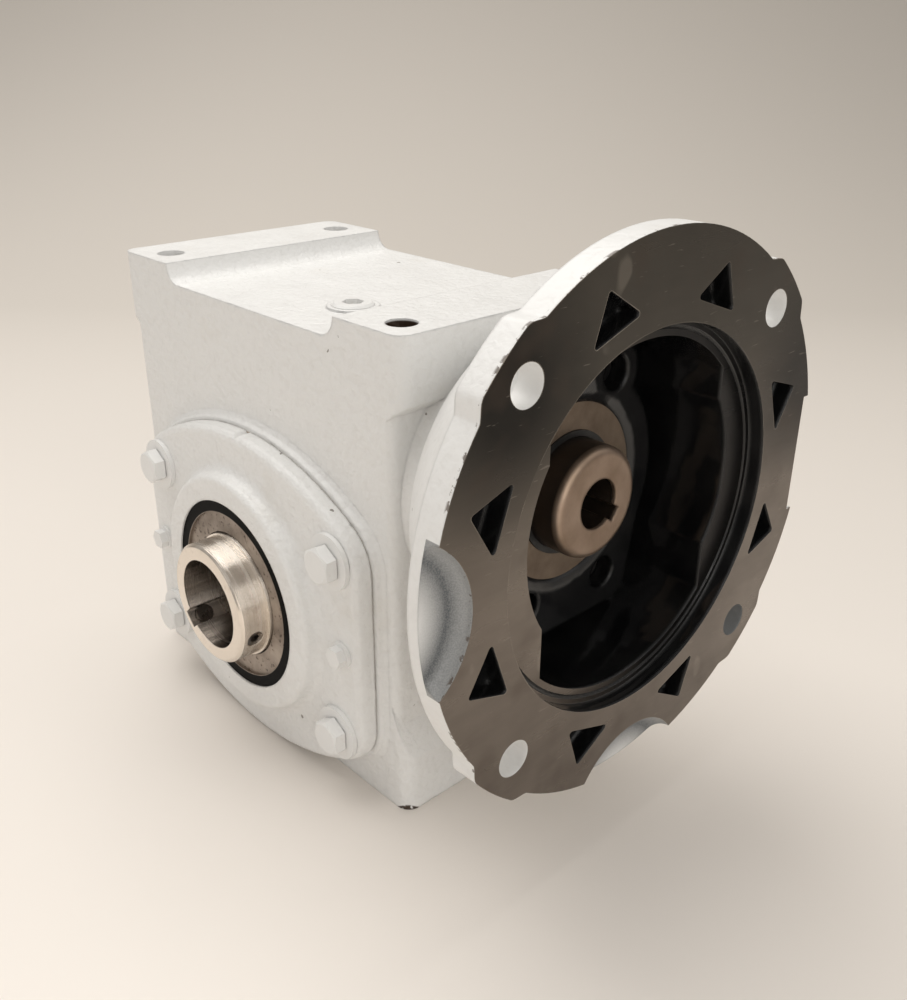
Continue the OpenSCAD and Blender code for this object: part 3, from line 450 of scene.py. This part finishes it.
def flange_casting():
    """White outside, black inside the bell and pockets, with a bare and turned motor face that carries
    painted dark reflections and painted edge highlights.
    """
    g = Graph("flange_casting")
    at = FlangePlaces(g)
    wiped = g.noise(60.0, 4.0, 0.65, 0.0, (1.0, 0.22, 1.0))
    black = g.ramp(g.noise(70.0, 3.0), (0.3, bell_dark), (0.7, bell_light))
    colour = g.mix(bite_and_hole_darkening(g, at), paint_colour(g), bite_dark_grey)
    colour = g.mix(g.times(rim_chips(g, at), 0.8), colour, chip_brown)
    colour = g.mix(at.inner, colour, black)
    colour = g.mix(at.machined, colour, machined_face(g, at, wiped))
    turned = g.level(wiped, 0.3, 0.7, 0.24, 0.38)
    rough = g.blend(at.machined, g.blend(at.inner, 0.40, 0.10), turned)
    cast = g.outside(at.machined)
    painted = g.times(cast, g.outside(at.inner))
    skin = g.soft_edges(g.blend(at.inner, 0.0011, 0.0023), at.machined)
    skin = g.bump(sand_grain(g), 0.00030, g.times(painted, 0.7), skin)
    skin = g.bump(g.noise(75.0, 2.0, 0.5), 0.0005, g.times(cast, 0.6), skin)
    skin = g.bump(g.noise(30.0, 1.0, 0.4, 0.4), 0.0032, g.times(at.inner, 0.8), skin)
    skin = g.bump(turned_rings(g, at.r, 0.00042), 0.000012, g.times(at.machined, 0.6), skin)
    return g.finish(colour, rough, g.blend(at.machined, 0.0, 0.85), skin)


def shaft_steel():
    """Bright turned sleeve with bands round it, and a darker honed bore."""
    g = Graph("shaft_steel")
    x, y, z = g.axes()
    r = g.radius(x, z)
    at_end = g.above(g.maths("ABSOLUTE", y), shaft_y - 0.0004, 0.0001)
    outside = g.either(g.above(r, sleeve_outside_r, 0.0002), at_end)
    bands = g.noise(420.0, 3.0, 0.6, 0.0, (0.03, 1.0, 0.03))
    turned = g.ramp(bands, (0.32, sleeve_dark), (0.70, sleeve_light))
    stain = g.times(g.above(g.noise(300.0, 3.0, 0.6), 0.64, 0.05), 0.20)
    turned = g.mix(stain, turned, sleeve_stain)
    lines = g.noise(520.0, 3.0, 0.6, 0.0, (1.0, 0.03, 1.0))
    bored = g.ramp(lines, (0.3, bore_dark), (0.7, bore_light))
    rings = g.blend(at_end, turned_rings(g, y, 0.00034), turned_rings(g, r, 0.00030))
    skin = g.bump(rings, 0.000055, g.blend(at_end, 0.9, 0.15), g.soft_edges(0.0005))
    skin = g.bump(lines, 0.00008, g.outside(outside), skin)
    rough = g.level(bands, 0.3, 0.7, 0.17, 0.32)
    return g.finish(g.mix(outside, bored, turned), rough, 1.0, skin)


def worm_steel():
    """Quill with a tan oxide on its face, a darker side behind its end and painted shade in its bore, and a
    bright thread further in.
    """
    g = Graph("worm_steel")
    x, y, z = g.axes()
    r = g.radius(y, g.minus(z, worm_z))
    tint = g.noise(85.0, 4.0, 0.6)
    oxide = g.ramp(tint, (0.3, oxide_dark), (0.68, oxide_light))
    # The side of the quill behind its end is darkened to near black
    dark_side = g.times(g.above(r, quill_outside_r, 0.0001), g.below(x, quill_x - quill_dark_side_depth, 0.0004))
    oxide = g.mix(g.times(dark_side, 0.9), oxide, quill_side_dark)
    bright = g.ramp(tint, (0.3, thread_dark), (0.7, thread_light))
    colour = g.mix(g.above(x, front_half_x, 0.001), bright, oxide)
    at_end = g.above(x, quill_x - quill_end_depth, 0.0003)
    colour = g.mix(g.times(at_end, 0.45), colour, quill_end_brown)
    # Painted shade: the bore inside the quill is darkened to near black
    bored = g.times(g.below(r, quill_keyway_r, 0.0001), g.below(x, quill_x - quill_bore_depth, 0.0003))
    colour = g.mix(g.times(bored, g.level(tint, 0.3, 0.7, 0.94, 0.70)), colour, quill_bore_shade)
    skin = g.bump(turned_rings(g, r, 0.00028), 0.000008, 0.7, g.soft_edges(0.0012))
    skin = g.bump(g.noise(900.0, 2.0), 0.00002, 0.4, skin)
    rough = g.blend(bored, g.level(g.noise(140.0, 3.0), 0.3, 0.7, 0.33, 0.47), 0.22)
    return g.finish(colour, rough, 0.85, skin)


def seal_case():
    """Seal faces: the output's dusty steel disc in a black rubber rim, and the input's tan one."""
    g = Graph("seal_case")
    x, y, z = g.axes()
    at_input = g.above(x, input_seal_x, 0.001)
    rim = g.times(g.outside(at_input), g.above(g.radius(x, z), seal_rim_r, 0.0001))
    tint = g.noise(90.0, 4.0, 0.6)
    disc = g.ramp(tint, (0.3, disc_dark), (0.7, disc_light))
    rust = g.above(g.noise(560.0, 3.0, 0.7), 0.62, 0.03)
    disc = g.mix(g.times(rust, 0.80), disc, disc_rust)
    tan = g.ramp(tint, (0.3, tan_dark), (0.7, tan_light))
    colour = g.mix(rim, g.mix(at_input, disc, tan), rim_black)
    skin = g.bump(g.noise(800.0, 2.0), 0.00004, 0.6)
    rough = g.blend(rim, g.level(g.noise(200.0), 0.3, 0.7, 0.38, 0.55), 0.48)
    g.put(g.shader.inputs["Specular IOR Level"], g.blend(rim, 0.5, 0.04))
    return g.finish(colour, rough, g.blend(rim, 0.6, 0.0), skin)


def plain(name, low, high, rough, metallic, scale, relief=0.00003):
    """A finish with one tone that drifts between two shades, and a fine skin."""
    g = Graph(name)
    colour = g.ramp(g.noise(scale, 4.0, 0.6), (0.3, low), (0.7, high))
    skin = g.bump(g.noise(scale * 6, 2.0), relief, 0.6)
    rough = g.level(g.noise(scale * 1.5), 0.3, 0.7, rough - 0.06, rough + 0.07)
    return g.finish(colour, rough, metallic, skin)


# One material for each material slot of the record
slots = {
    "painted_casting": painted_casting(),
    "painted_fastener": painted_fastener(),
    "flange_casting": flange_casting(),
    "shaft_steel": shaft_steel(),
    "worm_steel": worm_steel(),
    "seal_case": seal_case(),
    "bearing_steel": plain(
        "bearing_steel", (0.55, 0.55, 0.56), (0.72, 0.72, 0.73), rough=0.20, metallic=1.0, scale=120.0),
    "dark_steel": plain(
        "dark_steel", (0.010, 0.010, 0.011), (0.035, 0.032, 0.030), rough=0.34, metallic=0.6, scale=120.0),
    "wheel_bronze": plain(
        "wheel_bronze", (0.46, 0.27, 0.10), (0.66, 0.43, 0.18), rough=0.30, metallic=1.0, scale=80.0),
    "bare_iron": plain(
        "bare_iron", (0.10, 0.095, 0.09), (0.20, 0.19, 0.18), rough=0.55, metallic=0.8, scale=150.0,
        relief=0.00008),
    "seal_rubber": plain(
        "seal_rubber", (0.006, 0.006, 0.006), (0.016, 0.015, 0.014), rough=0.45, metallic=0.0, scale=220.0),
    "gasket_sheet": plain(
        "gasket_sheet", (0.34, 0.28, 0.22), (0.64, 0.61, 0.56), rough=0.60, metallic=0.0, scale=110.0),
}
# Two nodes look unlike the rest of their slot: the screws are brighter, and paint covers the gasket's edge
apart = {
    "shaft_set_screws": plain(
        "screw_steel", (0.20, 0.18, 0.16), (0.42, 0.39, 0.36), rough=0.28, metallic=1.0, scale=300.0),
    "flange_gasket": slots["painted_fastener"],
}
for part in frame["record"]["subparts"]:
    piece = nodes[part["node"]]
    piece.data.materials.clear()
    piece.data.materials.append(apart.get(part["node"], slots[part["material_slot"]]))


def ground_material(near, middle, far, side_shade):
    """Pale sheet with painted shade: it darkens slowly towards the far end and the right, as the photograph's
    ground does, standing in for light that falls off there.
    """
    g = Graph("ground")
    x, y, z = g.axes()
    along = g.plus(g.times(x, -camera_back[0]), g.times(y, -camera_back[1]))
    aside = g.minus(g.times(x, -camera_back[1]), g.times(y, -camera_back[0]))
    # Painted shade: the ground's colour falls from near to far and towards the right, where less light
    # reaches it
    painted_falloff = g.level(along, -0.3, 1.35, 0.0, 1.0)
    colour = g.ramp(painted_falloff, (0.0, near), (0.17, middle), (0.50, far), (1.0, far))
    colour = g.mix(g.level(aside, -0.2, 0.9, 0.0, 0.28), colour, side_shade)
    return g.finish(colour, 0.75, 0.0, None, Specular_IOR_Level=0.15)


def sweep(name, half_width, near_end, depth, height, bend, material):
    """Floor that curves up into a backdrop behind the object, square to the camera's view."""
    ahead = Vector((-camera_back[0], -camera_back[1], 0.0)).normalized()
    side = Vector((ahead.y, -ahead.x, 0.0))
    steps = 24
    profile = [(-near_end, 0.0), (depth - bend, 0.0)]
    for i in range(1, steps + 1):
        turn = i / steps * pi / 2
        profile.append((depth - bend + bend * sin(turn), bend - bend * cos(turn)))
    profile.append((depth, height))
    verts, faces = [], []
    for run, rise in profile:
        for s in (-half_width, half_width):
            verts.append(ahead * run + side * s + Vector((0, 0, base_z + rise)))
    for i in range(len(profile) - 1):
        faces.append((2 * i, 2 * i + 1, 2 * i + 3, 2 * i + 2))
    mesh = bpy.data.meshes.new(name)
    mesh.from_pydata(verts, [], faces)
    for face in mesh.polygons:
        face.use_smooth = True
    mesh.materials.append(material)
    piece = bpy.data.objects.new(name, mesh)
    bpy.context.scene.collection.objects.link(piece)


def softbox(name, at, size, radiance):
    """Area lamp aimed at the object, whose brightness is given as radiance, whatever its size."""
    lamp = bpy.data.lights.new(name, "AREA")
    lamp.shape = "RECTANGLE"
    lamp.size, lamp.size_y = size
    lamp.energy = radiance * pi * size[0] * size[1]
    lamp.color = (1.0, 0.975, 0.94)
    piece = bpy.data.objects.new(name, lamp)
    piece.location = at
    piece.rotation_euler = (Vector(at) - Vector((0, 0, 0.03))).to_track_quat("Z", "Y").to_euler()
    bpy.context.scene.collection.objects.link(piece)


def world():
    """Even warm light all round, with a plain pale tone where the camera sees it."""
    room = bpy.data.worlds.new("room")
    bpy.context.scene.world = room
    room.use_nodes = True
    tree = room.node_tree
    tree.nodes.clear()
    output = tree.nodes.new("ShaderNodeOutputWorld")
    path = tree.nodes.new("ShaderNodeLightPath")
    mix = tree.nodes.new("ShaderNodeMixShader")
    light = tree.nodes.new("ShaderNodeBackground")
    seen = tree.nodes.new("ShaderNodeBackground")
    light.inputs["Color"].default_value = (1.0, 0.97, 0.93, 1.0)
    light.inputs["Strength"].default_value = 0.46
    seen.inputs["Color"].default_value = (0.55, 0.50, 0.44, 1.0)
    tree.links.new(path.outputs["Is Camera Ray"], mix.inputs[0])
    tree.links.new(light.outputs[0], mix.inputs[1])
    tree.links.new(seen.outputs[0], mix.inputs[2])
    tree.links.new(mix.outputs[0], output.inputs[0])


def camera():
    """The photograph's camera. Its lens is given for a picture 36 mm high."""
    lens = bpy.data.cameras.new("camera")
    lens.sensor_fit = "VERTICAL"
    lens.sensor_height = 36.0
    lens.lens = camera_lens
    lens.clip_start = 0.01
    piece = bpy.data.objects.new("camera", lens)
    columns = [Vector(v) for v in (camera_right, camera_up, camera_back, camera_at)]
    piece.matrix_world = Matrix([[c[i] for c in columns] for i in range(3)] + [[0, 0, 0, 1]])
    bpy.context.scene.collection.objects.link(piece)
    bpy.context.scene.camera = piece


ground = ground_material(
    near=(0.95, 0.893, 0.832), middle=(0.785, 0.737, 0.687), far=(0.60, 0.560, 0.512),
    side_shade=(0.35, 0.32, 0.28))
sweep("ground", half_width=3.2, near_end=2.2, depth=2.3, height=2.6, bend=1.7, material=ground)
softbox("lamp_over", at=(-0.45, 0.05, 1.25), size=(1.4, 1.4), radiance=2.7)
softbox("lamp_front", at=(0.05, -1.30, 0.80), size=(1.1, 0.8), radiance=0.18)
softbox("lamp_right", at=(1.25, -0.35, 0.50), size=(1.1, 0.9), radiance=1.50)
softbox("lamp_back", at=(0.85, 0.95, 0.95), size=(0.8, 0.8), radiance=0.60)
world()
camera()
bpy.context.scene.view_settings.view_transform = "Standard"
